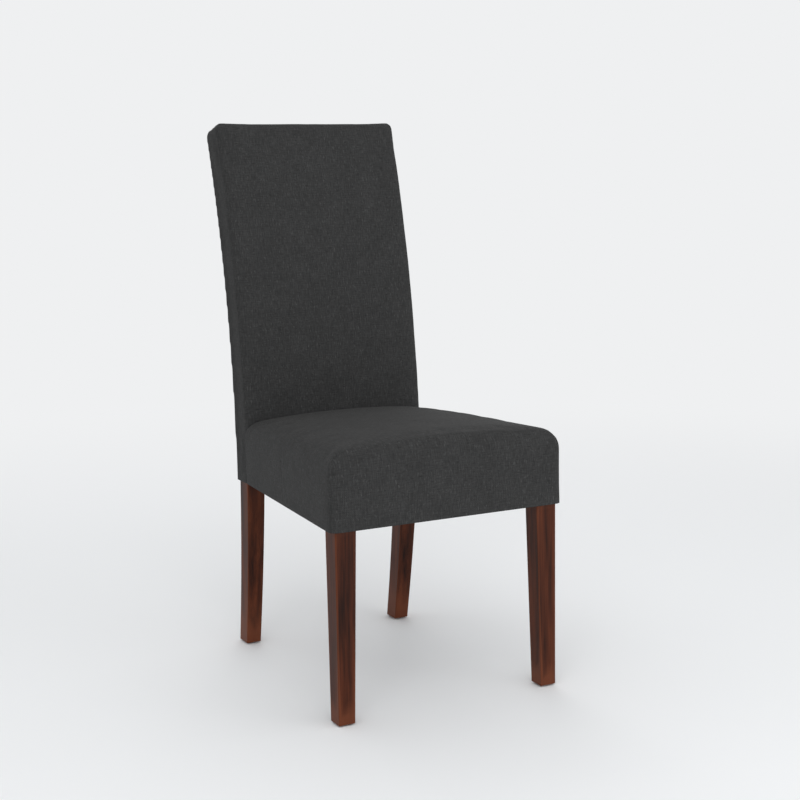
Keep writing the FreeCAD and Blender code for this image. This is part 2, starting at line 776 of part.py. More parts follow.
lengthwise_x = strap_middles(STRAPS_LENGTHWISE, "lengthwise_pitch", "0")
crosswise_y = strap_middles(STRAPS_CROSSWISE, "crosswise_pitch",
                            "(front_rail_inner_y + rear_rail_front_y) / 2")
straps = []
for column, x in enumerate(lengthwise_x):
    crossings = [(y, (row + column) % 2 == 0) for row, y in enumerate(crosswise_y)]
    straps.append(woven_strap(f"lengthwise_strap_{column + 1}", "YZ_Plane", x, (
        "front_rail_inner_y - webbing_landing", "rear_rail_front_y + webbing_landing"), crossings))
node(group("seat_webbing_lengthwise", straps))
straps = []
for row, y in enumerate(crosswise_y):
    reach = (f"(side_front_x + side_slope * ({y} - leg_rear_y) - rail_thickness"
             " + webbing_landing)")
    crossings = [(x, (row + column) % 2 == 1) for column, x in enumerate(lengthwise_x)]
    straps.append(woven_strap(f"crosswise_strap_{row + 1}", "XZ_Plane", f"-{y}",
                              (f"-{reach}", reach), crossings))
node(group("seat_webbing_crosswise", straps))


def flat_sheet(label, half_outline, low, high):
    # a flat piece that is the same on both sides of the chair, from its
    # outline on the sitter's left, front first
    body = new_body(label)
    corners = list(half_outline) + [(f"-({x})", y) for x, y in reversed(half_outline)]
    pad(body, outline(body, label + "_plan", "XY_Plane", low, corners), f"{high} - {low}")
    return body


node(flat_sheet("seat_hessian", [
    ("side_front_x - sheet_margin", "leg_front_y + sheet_margin"),
    ("side_rear_x - sheet_margin", "post_front_y"),
    ("post_inner_x", "post_front_y"),
    ("post_inner_x", "rear_rail_rear_y"),
], "deck_bottom", "deck_top"))

# the space inside the outer faces of the seat frame, and the opening that the
# turned-under edge of the cover leaves
frame_space = flat_sheet("frame_space", [
    ("leg_outer_x", "leg_front_y"),
    ("leg_outer_x", "leg_rear_y"),
    ("side_front_x", "leg_rear_y"),
    ("side_rear_x", "post_front_y"),
], "cover_bottom", "deck_top")
opening = flat_sheet("opening", [
    ("leg_outer_x - cover_turn_under", "leg_front_y + cover_turn_under"),
    ("side_rear_x - cover_turn_under", "post_front_y"),
], "cover_bottom", "rail_bottom")
node(cut("dust_cover", flat_sheet("dust_sheet", [
    ("front_half - dust_cover_margin", "seat_front_y + dust_cover_margin"),
    ("rear_half - dust_cover_margin", "back_front_y"),
    ("rear_half - dust_cover_margin", "back_rear_y - dust_cover_margin"),
], "seat_underside", "cover_bottom"), *frame_legs))


# The soft layers of the seat, which end against the front of the back

behind_seat = slab("behind_seat", "front_half", "0", "back_thickness",
                   (at_level, "seat_underside"), (at_level, "crown_height + seat_edge_radius"))
node(cut("seat_foam", seat_under_wadding, behind_seat))
node(cut("seat_wadding", seat_under_cover, seat_under_wadding, frame_space, behind_seat))
node(cut("seat_cover", seat_outside, seat_under_cover, opening, behind_seat, *frame_legs[:2]))


# The soft layers of the back

def common(label, first, second):
    result = document.addObject("Part::Common", label)
    result.Label = label
    result.Base = first
    result.Tool = second
    return result


straps = []
for index in range(BACK_STRAPS):
    low = f"shoulder_z + webbing_width / 2 + {index} * back_strap_pitch"
    straps.append(slab(f"back_strap_{index + 1}", "post_outer_x - sheet_margin", "post_front_depth",
                       "webbing_front", (at_level, f"({low})"), (at_level, f"({low} + webbing_width)")))
node(group("back_webbing", straps))
node(slab("back_hessian", "post_outer_x - sheet_margin", "hessian_rear",
          "(hessian_rear + hessian_thickness)", (at_level, "shoulder_z"),
          (on_back, "back_inset + sheet_margin")))
foam_space = slab("foam_space", "rear_half", "foam_rear", "back_thickness + cover_thickness",
                  (at_level, "deck_top"), (on_back, "0"))
node(cut("back_foam", common("back_foam_board", back_under_wadding, foam_space), *frame_legs[2:]))

# the front of the back's soft layers stops at the seat deck, and only its
# sides go on down beside the side rails
below_deck = flat_sheet("below_deck", [
    ("post_outer_x", "back_front_y - sheet_margin"),
    ("post_outer_x", "post_front_y"),
], "seat_underside", "deck_top")
node(cut("back_wadding", back_under_cover, back_under_wadding, below_deck))
back_skin = cut("back_skin", back_outside, back_under_cover)
rear_panel = slab("rear_panel", "rear_half - back_rear_edge", "-cover_thickness", "card_rear",
                  (at_level, "seat_underside"), (on_back, "2 * back_rear_edge"))
node(common("rear_cover", back_skin, rear_panel))
node(cut("back_cover", back_skin, rear_panel, below_deck, *frame_legs[2:]))

node(slab("rear_card", "post_outer_x", "card_rear", "back_inset",
          (at_level, "rail_bottom"), (on_back, "back_inset")))
node(slab("rear_wadding", "post_outer_x - tack_strip_width", "cover_thickness", "card_rear",
          (at_level, "rail_bottom"), (on_back, "back_inset + tack_strip_width")))
node(slab("top_tack_strip", "post_outer_x - layer_gap", "cover_thickness", "(card_rear - layer_gap)",
          (on_back, "back_inset + tack_strip_width - layer_gap"), (on_back, "back_inset + layer_gap")))
strips = []
for name, sign in SIDES:
    body = new_body(f"tack_strip_{name}")
    x = across(sign, "post_outer_x - tack_strip_width", "post_outer_x - layer_gap")
    side = slab_side(body, f"tack_strip_{name}_side", "cover_thickness", "card_rear",
                     (at_level, "rail_bottom"), (on_back, "back_inset + tack_strip_width"), x[0])
    pad(body, side, "tack_strip_width - layer_gap")
    strips.append(body)
node(group("side_tack_strips", strips))


# Checks and files

document.recompute()
for thing in document.Objects:
    if "Invalid" in thing.State or "Error" in thing.State:
        raise RuntimeError(f"{thing.Name} did not build: {thing.getStatusString()}")
for piece in nodes:
    if piece.Shape.isNull() or not piece.Shape.isValid() or not piece.Shape.Solids:
        raise RuntimeError(f"{piece.Label} has no valid solid")

os.makedirs("parts", exist_ok=True)
for piece in nodes:
    piece.Shape.exportStep(f"parts/{piece.Label}.step")
    print(piece.Label, len(piece.Shape.Solids), "solids", round(piece.Shape.Volume / 1000, 1), "cm3")
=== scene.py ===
import bmesh
import bpy
import math
from mathutils import Matrix, Vector, noise


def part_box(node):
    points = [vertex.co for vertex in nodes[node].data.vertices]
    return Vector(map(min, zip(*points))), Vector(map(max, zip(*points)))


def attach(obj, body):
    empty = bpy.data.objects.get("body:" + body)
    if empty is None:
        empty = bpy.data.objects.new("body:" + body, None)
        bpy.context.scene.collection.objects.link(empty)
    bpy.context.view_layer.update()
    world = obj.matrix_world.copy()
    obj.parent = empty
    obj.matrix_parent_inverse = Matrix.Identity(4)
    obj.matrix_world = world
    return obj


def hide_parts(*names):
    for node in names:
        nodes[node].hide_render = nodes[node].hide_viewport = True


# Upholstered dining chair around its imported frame. Metres, the chair faces -Y,
# +X is its own left, the floor is at z = 0.

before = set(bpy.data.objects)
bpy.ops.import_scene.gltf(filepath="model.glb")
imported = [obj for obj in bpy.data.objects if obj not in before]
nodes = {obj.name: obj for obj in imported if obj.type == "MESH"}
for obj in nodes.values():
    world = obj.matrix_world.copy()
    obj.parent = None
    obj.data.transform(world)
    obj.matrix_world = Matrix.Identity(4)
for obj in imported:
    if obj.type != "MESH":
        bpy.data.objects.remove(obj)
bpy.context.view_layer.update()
scene = bpy.context.scene
mm = 0.001
near = 0.01 * mm  # places closer than this are the same


# Camera, ahead of the chair and to its right, just below the height of its back

camera = {
    "place": (-1.2388, -2.5030, 0.9221),
    "turn": 27.41,  # degrees to the right of straight ahead
    "dip": 8.64,  # degrees below level
    "tilt": -0.89,
    "lens": 68.28,
    "sensor": 36,
    "shift": (0.0033, 0.0001),
}


def makeCamera():
    data = bpy.data.cameras.new("camera")
    data.lens = camera["lens"]
    data.sensor_width = camera["sensor"]
    data.shift_x, data.shift_y = camera["shift"]
    body = bpy.data.objects.new("camera", data)
    turn, dip, tilt = (math.radians(camera[k]) for k in ("turn", "dip", "tilt"))
    ahead = Vector((math.sin(turn) * math.cos(dip), math.cos(turn) * math.cos(dip),
                    -math.sin(dip)))
    right = Vector((math.cos(turn), -math.sin(turn), 0))
    up = right.cross(ahead)
    right, up = (right * math.cos(tilt) + up * math.sin(tilt),
                 up * math.cos(tilt) - right * math.sin(tilt))
    body.matrix_world = Matrix((
        (right.x, up.x, -ahead.x, camera["place"][0]),
        (right.y, up.y, -ahead.y, camera["place"][1]),
        (right.z, up.z, -ahead.z, camera["place"][2]),
        (0, 0, 0, 1)))
    scene.collection.objects.link(body)
    scene.camera = body


makeCamera()
print("camera placed")


# Materials

def colour(code):
    # an sRGB hex value as the linear colour that a shader takes
    parts = [int(code[i:i + 2], 16) / 255 for i in (1, 3, 5)]
    return (*[p / 12.92 if p <= 0.04045 else ((p + 0.055) / 1.055) ** 2.4 for p in parts], 1)


def addNode(tree, kind, settings=None, inputs=None):
    # a shader node with its settings, and its values or what is linked to it;
    # a ramp's stops are (place, grey or colour)
    node = tree.nodes.new("ShaderNode" + kind)
    for name, value in (settings or {}).items():
        if name == "stops":
            while len(node.color_ramp.elements) < len(value):
                node.color_ramp.elements.new(0.5)
            for element, (place, shade) in zip(node.color_ramp.elements, value):
                grey = not isinstance(shade, str)
                element.position = place
                element.color = (shade, shade, shade, 1) if grey else colour(shade)
        else:
            setattr(node, name, value)
    for name, value in (inputs or {}).items():
        if isinstance(value, bpy.types.NodeSocket):
            tree.links.new(value, node.inputs[name])
        else:
            node.inputs[name].default_value = value
    return node


def startMaterial(name, roughness, specular=0.5):
    material = bpy.data.materials.new(name)
    material.use_nodes = True
    tree = material.node_tree
    tree.nodes.clear()
    shader = addNode(tree, "BsdfPrincipled", None, {
        "Roughness": roughness, "Specular IOR Level": specular})
    addNode(tree, "OutputMaterial", None, {"Surface": shader.outputs[0]})
    return material, tree, shader


def grains(tree, where, size, detail=3.0, rough=0.6):
    # uneven grains, this many millimetres long along each axis
    placed = addNode(tree, "Mapping", None, {
        "Vector": where, "Scale": [1 / (s * mm) for s in size]})
    cloud = addNode(tree, "TexNoise", None, {
        "Vector": placed.outputs[0], "Scale": 1.0, "Detail": detail, "Roughness": rough})
    return cloud.outputs["Fac"]


def overAndUnder(tree, where, pitch):
    # the heights of a plain weave with this thread spacing, in millimetres
    waves = []
    for part in addNode(tree, "SeparateXYZ", None, {"Vector": where}).outputs[:2]:
        turn = addNode(tree, "Math", {"operation": "MULTIPLY"}, {
            0: part, 1: math.pi / (pitch * mm)})
        wave = addNode(tree, "Math", {"operation": "SINE"}, {0: turn.outputs[0]})
        waves.append(wave.outputs[0])
    return addNode(tree, "Math", {"operation": "MULTIPLY"}, {0: waves[0], 1: waves[1]}).outputs[0]


linen = {
    "low": "#2a2a2a",
    "ground": "#323232",
    "high": "#3c3c3c",
    "fleckLow": "#242424",
    "fleckHigh": "#464646",
    "thread": 1.5,  # mm, woven at 0.8 and drawn coarser so that it shows
    "threadHeight": 0.1,
    "slub": (1.9, 17),  # mm, width and length of an uneven thread
    "slubHeight": 0.35,
    "weftShare": 0.42,
    "patch": (45, 60, 60),  # mm, slow changes of tone
    "roughness": 0.92,
    "specular": 0.2,
    "nap": 0.1,
    "napRoughness": 0.5,
    "napTint": "#8c8b89",
}


def linenWeave():
    # plain-woven polyester linen, heathered charcoal: uneven threads give
    # short streaks along warp and weft, and it has a dull nap
    material, tree, shader = startMaterial("linenWeave", linen["roughness"], linen["specular"])
    where = addNode(tree, "UVMap", {"uv_map": "cloth"}).outputs[0]
    width, length = linen["slub"]
    warp = grains(tree, where, (width, length, length))
    weft = grains(tree, where, (length, width, length))
    streaks = addNode(tree, "Mix", {"data_type": "FLOAT"}, {
        0: linen["weftShare"], 2: warp, 3: weft}).outputs[0]
    stops = [(0.36, linen["low"]), (0.5, linen["ground"]), (0.66, linen["high"])]
    shade = addNode(tree, "ValToRGB", {"stops": stops}, {0: streaks}).outputs[0]
    # pale and dark flecks, this long in millimetres
    for size, stops, fleck in (
            ((2.6, 9, 5), [(0.60, 0.0), (0.76, 0.8)], "fleckHigh"),
            ((8, 2.4, 5), [(0.24, 0.9), (0.40, 0.0)], "fleckLow")):
        share = addNode(tree, "ValToRGB", {"stops": stops}, {0: grains(tree, where, size, 1.0)})
        shade = addNode(tree, "Mix", {"data_type": "RGBA"}, {
            0: share.outputs[0], 6: shade, 7: colour(linen[fleck])}).outputs[2]
    # slow changes of tone, and the shaded pits between the threads
    weave = overAndUnder(tree, where, linen["thread"])
    depth = addNode(tree, "Math", {"operation": "ABSOLUTE"}, {0: weave}).outputs[0]
    patches = grains(tree, where, linen["patch"], 2.0)
    for height, stops in ((patches, [(0.3, 0.92), (0.7, 1.07)]),
                          (depth, [(0.0, 0.9), (1.0, 1.08)])):
        tone = addNode(tree, "ValToRGB", {"stops": stops}, {0: height})
        shade = addNode(tree, "Mix", {"data_type": "RGBA", "blend_type": "MULTIPLY"}, {
            0: 1.0, 6: shade, 7: tone.outputs[0]}).outputs[2]
    raised = addNode(tree, "Bump", None, {
        "Height": weave, "Distance": linen["threadHeight"] * mm}).outputs[0]
    raised = addNode(tree, "Bump", None, {
        "Height": streaks, "Distance": linen["slubHeight"] * mm, "Normal": raised}).outputs[0]
    tree.links.new(shade, shader.inputs["Base Color"])
    tree.links.new(raised, shader.inputs["Normal"])
    shader.inputs["Sheen Weight"].default_value = linen["nap"]
    shader.inputs["Sheen Roughness"].default_value = linen["napRoughness"]
    shader.inputs["Sheen Tint"].default_value = colour(linen["napTint"])
    return material


stain = {
    "deep": "#220d06",
    "body": "#462010",
    "light": "#5e2f1a",
    "edge": "#6e3c26",
    "grain": (1.6, 1.6, 90),  # mm, pore streaks along the leg
    "poreDepth": 0.06,
    "poreShare": 0.5,  # how dark the pores are
    "figure": (14, 14, 240),
    "roughness": 0.4,
    "roughnessFromTo": (0.38, 0.52),  # it varies with the figure
    "specular": 0.13,
}


def stainedHardwood():
    # rubberwood stained dark mahogany under a satin lacquer: fine straight
    # pores along the leg, and a soft reflection
    material, tree, shader = startMaterial(
        "stainedHardwood", stain["roughness"], stain["specular"])
    where = addNode(tree, "TexCoord").outputs["Object"]
    pores = grains(tree, where, stain["grain"], 4.0)
    figure = grains(tree, where, stain["figure"])
    stops = [(0.3, stain["deep"]), (0.5, stain["body"]), (0.72, stain["light"])]
    shade = addNode(tree, "ValToRGB", {"stops": stops}, {0: figure}).outputs[0]
    dark = addNode(tree, "ValToRGB", {"stops": [(0.36, 0.55), (0.55, 1.0)]}, {0: pores})
    shade = addNode(tree, "Mix", {"data_type": "RGBA", "blend_type": "MULTIPLY"}, {
        0: stain["poreShare"], 6: shade, 7: dark.outputs[0]}).outputs[2]
    # the lacquer is thin on the long edges
    edges = addNode(tree, "NewGeometry").outputs["Pointiness"]
    worn = addNode(tree, "ValToRGB", {"stops": [(0.51, 0.0), (0.56, 0.6)]}, {0: edges})
    shade = addNode(tree, "Mix", {"data_type": "RGBA"}, {
        0: worn.outputs[0], 6: shade, 7: colour(stain["edge"])}).outputs[2]
    raised = addNode(tree, "Bump", None, {
        "Height": pores, "Distance": stain["poreDepth"] * mm})
    sharpest, dullest = stain["roughnessFromTo"]
    gloss = addNode(tree, "MapRange", None, {
        "Value": figure, "To Min": sharpest, "To Max": dullest})
    tree.links.new(shade, shader.inputs["Base Color"])
    tree.links.new(raised.outputs[0], shader.inputs["Normal"])
    tree.links.new(gloss.outputs[0], shader.inputs["Roughness"])
    return material


def mottled(name, low, high, size, roughness, depth, weave=0):
    # two shades in grains of this size, raised by depth, on threads of this
    # spacing if it is woven; all in millimetres
    material, tree, shader = startMaterial(name, roughness)
    where = addNode(tree, "TexCoord").outputs["Object"]
    height = grains(tree, where, size, 4.0)
    if weave:
        threads = addNode(tree, "Math", {"operation": "ABSOLUTE"}, {
            0: overAndUnder(tree, where, weave)})
        height = addNode(tree, "Mix", {"data_type": "FLOAT"}, {
            0: 0.5, 2: height, 3: threads.outputs[0]}).outputs[0]
    shade = addNode(tree, "ValToRGB", {"stops": [(0.3, low), (0.68, high)]}, {0: height})
    raised = addNode(tree, "Bump", None, {"Height": height, "Distance": depth * mm})
    tree.links.new(shade.outputs[0], shader.inputs["Base Color"])
    tree.links.new(raised.outputs[0], shader.inputs["Normal"])
    return material


linenMaterial = linenWeave()
stainMaterial = stainedHardwood()
# rubberwood, planed and left raw: pale, with darker pores along the rail
rawMaterial = mottled("planedHardwood", "#a98557", "#d3b380", (60, 2.2, 2.2), 0.7, 0.1)
# moulded nylon: black, faintly uneven
nylonMaterial = mottled("mouldedNylon", "#191716", "#24211f", (0.6, 0.6, 0.6), 0.48, 0.03)
# spunbond polypropylene: thin black cloth of pressed fibres
dustMaterial = mottled("spunbondCloth", "#0f0f10", "#1f1f21", (0.7, 1.6, 1), 0.9, 0.15)
# urethane foam: cream and open-celled
foamMaterial = mottled("urethaneFoam", "#d8cda6", "#efe7cc", (1.2, 1.2, 1.2), 0.95, 0.4)
# polyester wadding: white, lofty and fibrous
waddingMaterial = mottled("polyesterWadding", "#dfdcd2", "#f4f2ec", (3, 9, 5), 0.95, 0.5)
# pressed upholsterer's card: brown and nearly smooth
cardMaterial = mottled("pressedCard", "#8d7350", "#ab9069", (1.1, 1.1, 1.1), 0.85, 0.05)
# woven jute: coarse round yarns, each a little uneven
webbingMaterial = mottled("juteWebbing", "#7d6440", "#b89a69", (2.2, 20, 20), 0.85, 0.3, 2.2)
hessianMaterial = mottled("hessianCloth", "#8a7148", "#c3a878", (1.6, 14, 14), 0.85, 0.3, 1.6)
# zinc-plated steel: bright, slightly dulled
zincMaterial = mottled("zincSteel", "#9a9c9e", "#c6c8ca", (1.5, 1.5, 1.5), 0.34, 0.01)
zincMaterial.node_tree.nodes["Principled BSDF"].inputs["Metallic"].default_value = 1.0

# each node's finish, by how its name starts; the first that fits is taken
finishOf = {
    "front_leg": stainMaterial, "rear_post": stainMaterial,
    "front_rail": rawMaterial, "rear_rail": rawMaterial, "side_rail": rawMaterial,
    "back_top": rawMaterial, "back_middle": rawMaterial, "back_lower": rawMaterial,
    "corner_block_screws": zincMaterial, "corner_block": rawMaterial,
    "glide_nails": zincMaterial, "glide": nylonMaterial,
    "seat_webbing": webbingMaterial, "back_webbing": webbingMaterial,
    "seat_hessian": hessianMaterial, "back_hessian": hessianMaterial,
    "seat_foam": foamMaterial, "back_foam": foamMaterial,
    "seat_wadding": waddingMaterial, "back_wadding": waddingMaterial,
    "rear_wadding": waddingMaterial, "rear_card": cardMaterial,
    "top_tack": cardMaterial, "side_tack": cardMaterial,
    "seat_cover": linenMaterial, "back_cover": linenMaterial, "rear_cover": linenMaterial,
    "dust_cover": dustMaterial,
}
for name, piece in nodes.items():
    finish = next(f for start, f in finishOf.items() if name.startswith(start))
    piece.data.materials.clear()
    piece.data.materials.append(finish)
print("materials made")


# Shared modelling steps

def meshPiece(name, bm, material, smooth=True):
    # a finished piece at the origin, from a bmesh
    bmesh.ops.recalc_face_normals(bm, faces=bm.faces)
    mesh = bpy.data.meshes.new(name)
    bm.to_mesh(mesh)
    bm.free()
    for face in mesh.polygons:
        face.use_smooth = smooth
    mesh.materials.append(material)
    piece = bpy.data.objects.new(name, mesh)
    scene.collection.objects.link(piece)
    return piece


def applyModifiers(piece):
    # fixes what the piece's modifiers make as its mesh
    graph = bpy.context.evaluated_depsgraph_get()
    made = bpy.data.meshes.new_from_object(piece.evaluated_get(graph))
    piece.modifiers.clear()
    piece.data = made


def remesh(piece, size):
    # even small faces all over a closed piece
    step = piece.modifiers.new("even", "REMESH")
    step.mode = "VOXEL"
    step.voxel_size = size * mm
    step.use_smooth_shade = True
    applyModifiers(piece)


def puffOut(piece, puff, shareAt):
    rest = [v.co.copy() for v in piece.data.vertices]
    step = piece.modifiers.new("swell", "CLOTH")
    step.settings.use_pressure = True
    step.settings.uniform_pressure_force = puff["pressure"]
    step.settings.effector_weights.gravity = 0
    step.settings.quality = puff["quality"]
    step.settings.tension_stiffness = puff["tension"]
    step.settings.compression_stiffness = puff["tension"]
    step.point_cache.frame_start = 1
    step.point_cache.frame_end = puff["frames"]
    for number in range(1, puff["frames"] + 1):
        scene.frame_set(number)
    applyModifiers(piece)
    scene.frame_set(1)
    furthest = 0
    for vertex, start in zip(piece.data.vertices, rest):
        moved = vertex.co - start
        furthest = max(furthest, moved.length)
        if moved.length > puff["cap"] * mm:
            moved *= puff["cap"] * mm / moved.length
        vertex.co = start + moved * shareAt(start)
    print(piece.name, "swelled", round(furthest / mm, 1), "mm at most")


def ripple(piece, height, size, shareAt):
    # slight unevenness of stretched cloth, in millimetres
    for vertex in piece.data.vertices:
        wave = noise.noise(vertex.co / (size * mm))
        vertex.co += vertex.normal * wave * height * mm * shareAt(vertex.co)


def trim(piece, place, outward, lip=None):
    # cuts the piece off square beyond a plane and closes it there; a lip is
    # the (width, height) of the cloth folded under the edge, in millimetres
    bm = bmesh.new()
    bm.from_mesh(piece.data)
    bmesh.ops.bisect_plane(bm, geom=bm.verts[:] + bm.edges[:] + bm.faces[:], dist=1e-6,
                           plane_co=place, plane_no=outward, clear_outer=True)
    rim = [e for e in bm.edges if e.is_boundary]
    closing = bmesh.ops.holes_fill(bm, edges=rim, sides=0)["faces"]
    if lip:
        bmesh.ops.inset_region(bm, faces=closing, thickness=lip[0] * mm)
        bmesh.ops.translate(bm, verts=closing[0].verts, vec=(0, 0, lip[1] * mm))
    bmesh.ops.recalc_face_normals(bm, faces=bm.faces)
    bm.to_mesh(piece.data)
    bm.free()


def refine(piece):
    step = piece.modifiers.new("soft", "SUBSURF")
    step.levels = 1
    step.render_levels = 1
    applyModifiers(piece)


def mapCloth(piece):
    # a map in metres along the threads, on the side that each face looks to
    layer = piece.data.uv_layers.new(name="cloth")
    halfway = 0.7  # about the sine of 45 degrees
    for face in piece.data.polygons:
        side = face.normal
        for corner in face.loop_indices:
            place = piece.data.vertices[piece.data.loops[corner].vertex_index].co
            if abs(side.x) > halfway:
                layer.data[corner].uv = (place.y, place.z)
            elif abs(side.z) > halfway:
                layer.data[corner].uv = (place.x, place.y)
            else:
                layer.data[corner].uv = (place.x, place.z)


def between(value, low, high):
    # 0 below low, 1 above high, and smooth from one to the other
    share = min(max((value - low) / (high - low), 0), 1)
    return share * share * (3 - 2 * share)


# The upholstered seat

seat = {
    "front": -308.5,  # mm, where its front face stands
    "rear": 145.6,  # its foot, pressed a little into the back
    "rearLean": 0.034,  # slope of the back's front face behind it
    "frontHalf": 227,
    "rearHalf": 191,
    "bottom": 338,
    "top": 481,
    "crownAcross": 1600,  # radii of the domed top
    "crownAlong": 4200,
    "ridge": 60,  # the highest line, behind the front face
    "shoulder": 30,
    "corner": 12,
    "topCorner": 32,
    "cornerRounds": (428, 478),  # the heights where it grows rounder
    "lip": (10, 3),  # cloth folded under the edge
    "cornerParts": 6,
    "shoulderParts": 8,
    "lowHold": (2, 35),  # from here on it is less and less held by its edge
    "rearHold": (2, 30),
    "wallShare": 0.35,  # how much of the swell its taut walls take
    "wallTop": (425, 468),
    "ripple": (0.7, 75),  # height and breadth of the cloth's unevenness
    "voxel": 5.6,
    "shy": 1.2,  # started this much smaller, before it swells
    "spare": 14,  # made longer below and behind, then trimmed
    "puff": {"pressure": 4.0, "tension": 15, "quality": 4, "frames": 20, "cap": 2.6},
}


def seatTop(x, y):
    # the height of the domed top, in mm
    back = y - seat["front"] - seat["ridge"]
    return (seat["top"] - seat["crownAcross"] + math.sqrt(seat["crownAcross"] ** 2 - x * x)
            - seat["crownAlong"] + math.sqrt(seat["crownAlong"] ** 2 - back * back))


def makeSeat():
    bm = bmesh.new()
    bmesh.ops.create_cube(bm, size=1)
    shy = seat["shy"]
    for vertex in bm.verts:
        half = seat["frontHalf"] if vertex.co.y < 0 else seat["rearHalf"]
        vertex.co = Vector((
            math.copysign(half - shy, vertex.co.x),
            seat["front"] + shy if vertex.co.y < 0 else seat["rear"] + seat["spare"],
            seat["bottom"] - seat["spare"] if vertex.co.z < 0 else seat["top"] - shy)) * mm
    upright = [e for e in bm.edges if all(v.co.y < 0 for v in e.verts)
               and abs(e.verts[0].co.z - e.verts[1].co.z) > 0.1]
    bmesh.ops.bevel(bm, geom=upright, offset=seat["corner"] * mm, segments=seat["cornerParts"],
                    profile=0.5, affect="EDGES", material=-1)
    top = (seat["top"] - shy) * mm
    end = (seat["rear"] + seat["spare"]) * mm
    rim = [e for e in bm.edges if all(abs(v.co.z - top) < near for v in e.verts)
           and not all(abs(v.co.y - end) < near for v in e.verts)
           and len(e.link_faces) == 2 and any(abs(f.normal.z) < 0.5 for f in e.link_faces)]
    bmesh.ops.bevel(bm, geom=rim, offset=seat["shoulder"] * mm, segments=seat["shoulderParts"],
                    profile=0.5, affect="EDGES", material=-1)
    piece = meshPiece("seatUpholstery", bm, linenMaterial)
    remesh(piece, seat["voxel"])
    low = (seat["bottom"] - seat["lip"][1]) * mm
    rear = seat["rear"] * mm
    for vertex in piece.data.vertices:
        x, y, z = vertex.co / mm
        if z < seat["bottom"]:
            continue
        rise = (seatTop(x, y) - shy - seat["bottom"]) / (seat["top"] - shy - seat["bottom"])
        vertex.co.z = (seat["bottom"] + (z - seat["bottom"]) * rise) * mm
        # the front corners go from square to round towards the top
        reach = Vector((max(0, abs(x) - seat["frontHalf"] + seat["topCorner"]),
                        max(0, seat["front"] + seat["topCorner"] - y)))
        furthest = math.sqrt(2) - (math.sqrt(2) - 1) * between(z, *seat["cornerRounds"])
        furthest *= seat["topCorner"]
        if reach.x and reach.length > furthest:
            pull = reach * (1 - furthest / reach.length)
            vertex.co.x -= math.copysign(pull.x, x) * mm
            vertex.co.y += pull.y * mm

    def free(place):
        # held along its lower edge and where it meets the back, and taut on
        # its walls
        wall = between(place.z / mm, *seat["wallTop"])
        return (between((place.z - low) / mm, *seat["lowHold"])
                * between((rear - place.y) / mm, *seat["rearHold"])
                * (seat["wallShare"] + (1 - seat["wallShare"]) * wall))

    puffOut(piece, seat["puff"], free)
    ripple(piece, *seat["ripple"], free)
    refine(piece)
    trim(piece, (0, rear, low), (0, 1, -seat["rearLean"]))
    trim(piece, (0, 0, low), (0, 0, -1), seat["lip"])
    mapCloth(piece)
    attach(piece, "root")
    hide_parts("seat_cover", "seat_wadding", "seat_foam")


makeSeat()
print("seat made")


# The upholstered back

back = {
    "half": 191,  # mm
    "bottom": 338,
    "thickness": 56,
    "curve": 2056,  # radius of its rear face
    "rear": 198.687,  # where its rear face stands at the foot
    "lean": 18.817,  # degrees up the curve to its square top
    "frontEdge": 10,
    "rearEdge": 1.5,
    "topCorner": 12,
    "lip": (8, 3),
    "cornerParts": 6,
    "rearEdgeParts": 3,
    "slices": 40,  # up the curve
    "lowHold": (2, 40),
    "rearHold": (2, 20),
    "ripple": (0.6, 90),
    "voxel": 5,
    "shy": 0.5,
    "spare": 14,  # made longer below, then trimmed
    "puff": {"pressure": 4.0, "tension": 14, "quality": 4, "frames": 20, "cap": 3.0},
}
centreY = back["rear"] + back["curve"]
backLength = math.radians(back["lean"]) * (back["curve"] + back["thickness"])


def onCurve(x, depth, rise):
    # a place on the back: across, forward of its rear face, and up its front
    radius = back["curve"] + depth
    turn = rise / (back["curve"] + back["thickness"])
    return Vector((x, centreY - radius * math.cos(turn),
                   back["bottom"] + radius * math.sin(turn))) * mm


